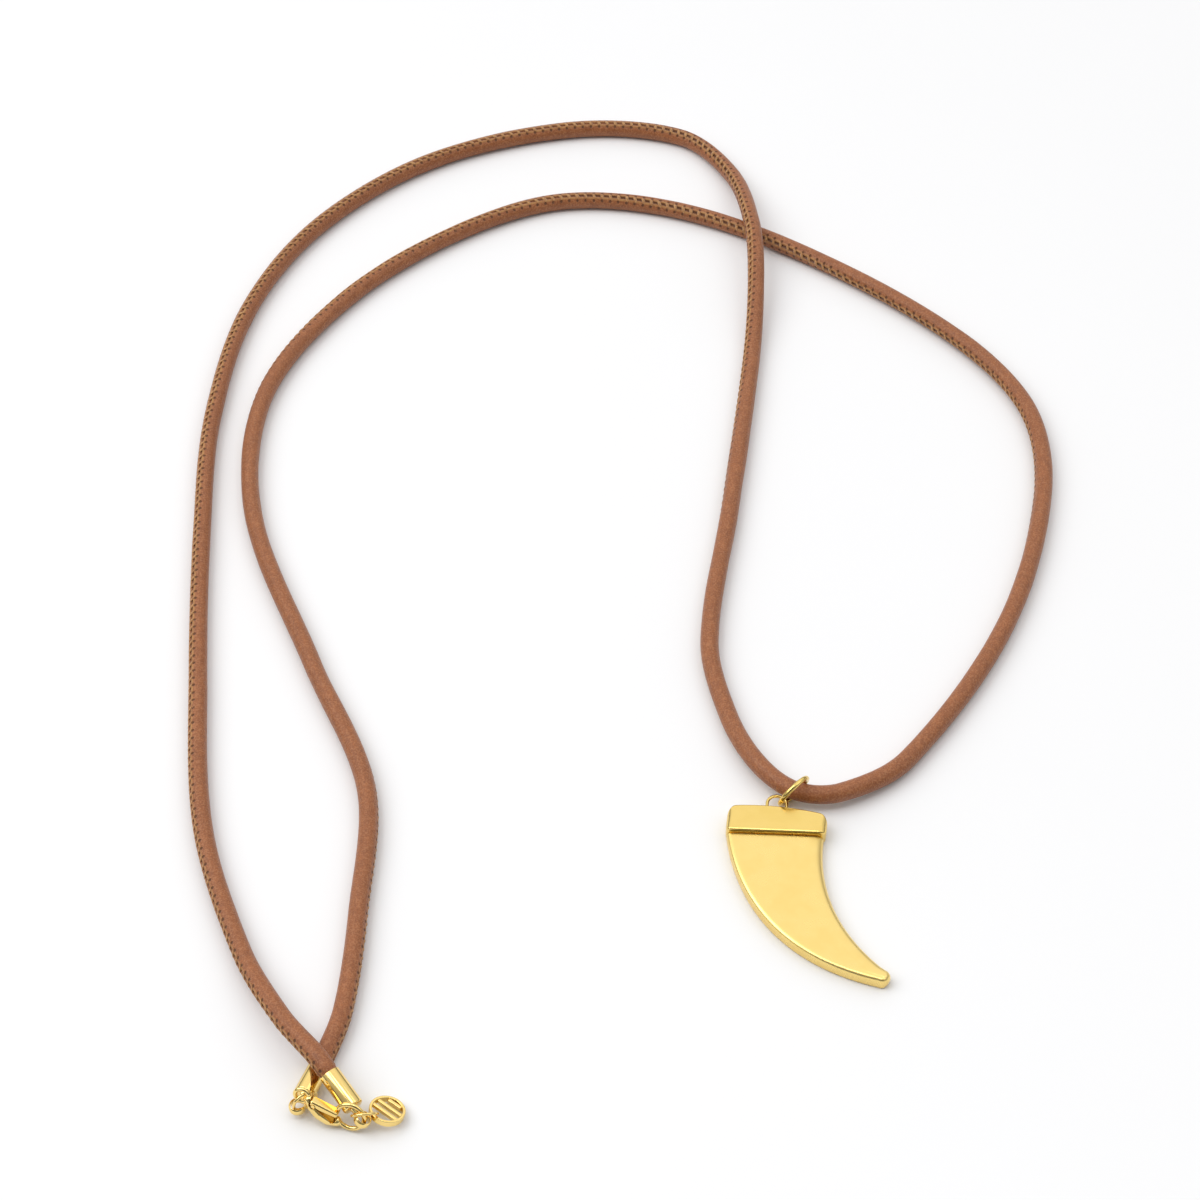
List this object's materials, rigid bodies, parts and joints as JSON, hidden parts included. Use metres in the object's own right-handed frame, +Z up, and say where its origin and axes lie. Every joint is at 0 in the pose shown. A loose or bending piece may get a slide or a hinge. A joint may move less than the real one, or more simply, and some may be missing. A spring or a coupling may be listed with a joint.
{
  "type": "tooth pendant necklace",
  "caption": "Curved gold tooth pendant with a bowed collar on a long stitched round leather cord, closed by a small clasp with a round openwork tag.",
  "frame": {"origin": "on the table under the tooth's root, in the pendant's flat back", "axes": "+Z up off the table, +Y along the pendant towards its collar, +X to the viewer's right"},
  "size_m": [0.1687, 0.258, 0.0072],
  "materials": {
    "gold": "polished",
    "leather": "satin"
  },
  "bodies": {
    "necklace": {"tooth": "gold", "collar": "gold", "pendant_ring": "gold", "cord": "leather", "cap_a": "gold", "cap_b": "gold", "clasp_ring": "gold", "clasp_body": "gold", "lever_pin": "gold", "tag": "gold", "tag_ring": "gold"},
    "lever": {"clasp_lever": "gold"}
  },
  "joints": [
    {"name": "clasp_lever_pivot", "type": "hinge", "parent": "necklace", "child": "lever", "pos_m": [-0.07783, -0.05469, 0.00387], "axis": [0.2562, 0.9152, -0.311], "range_deg": [0, 15], "stiffness_Nm_per_rad": 0.0002}
  ]
}
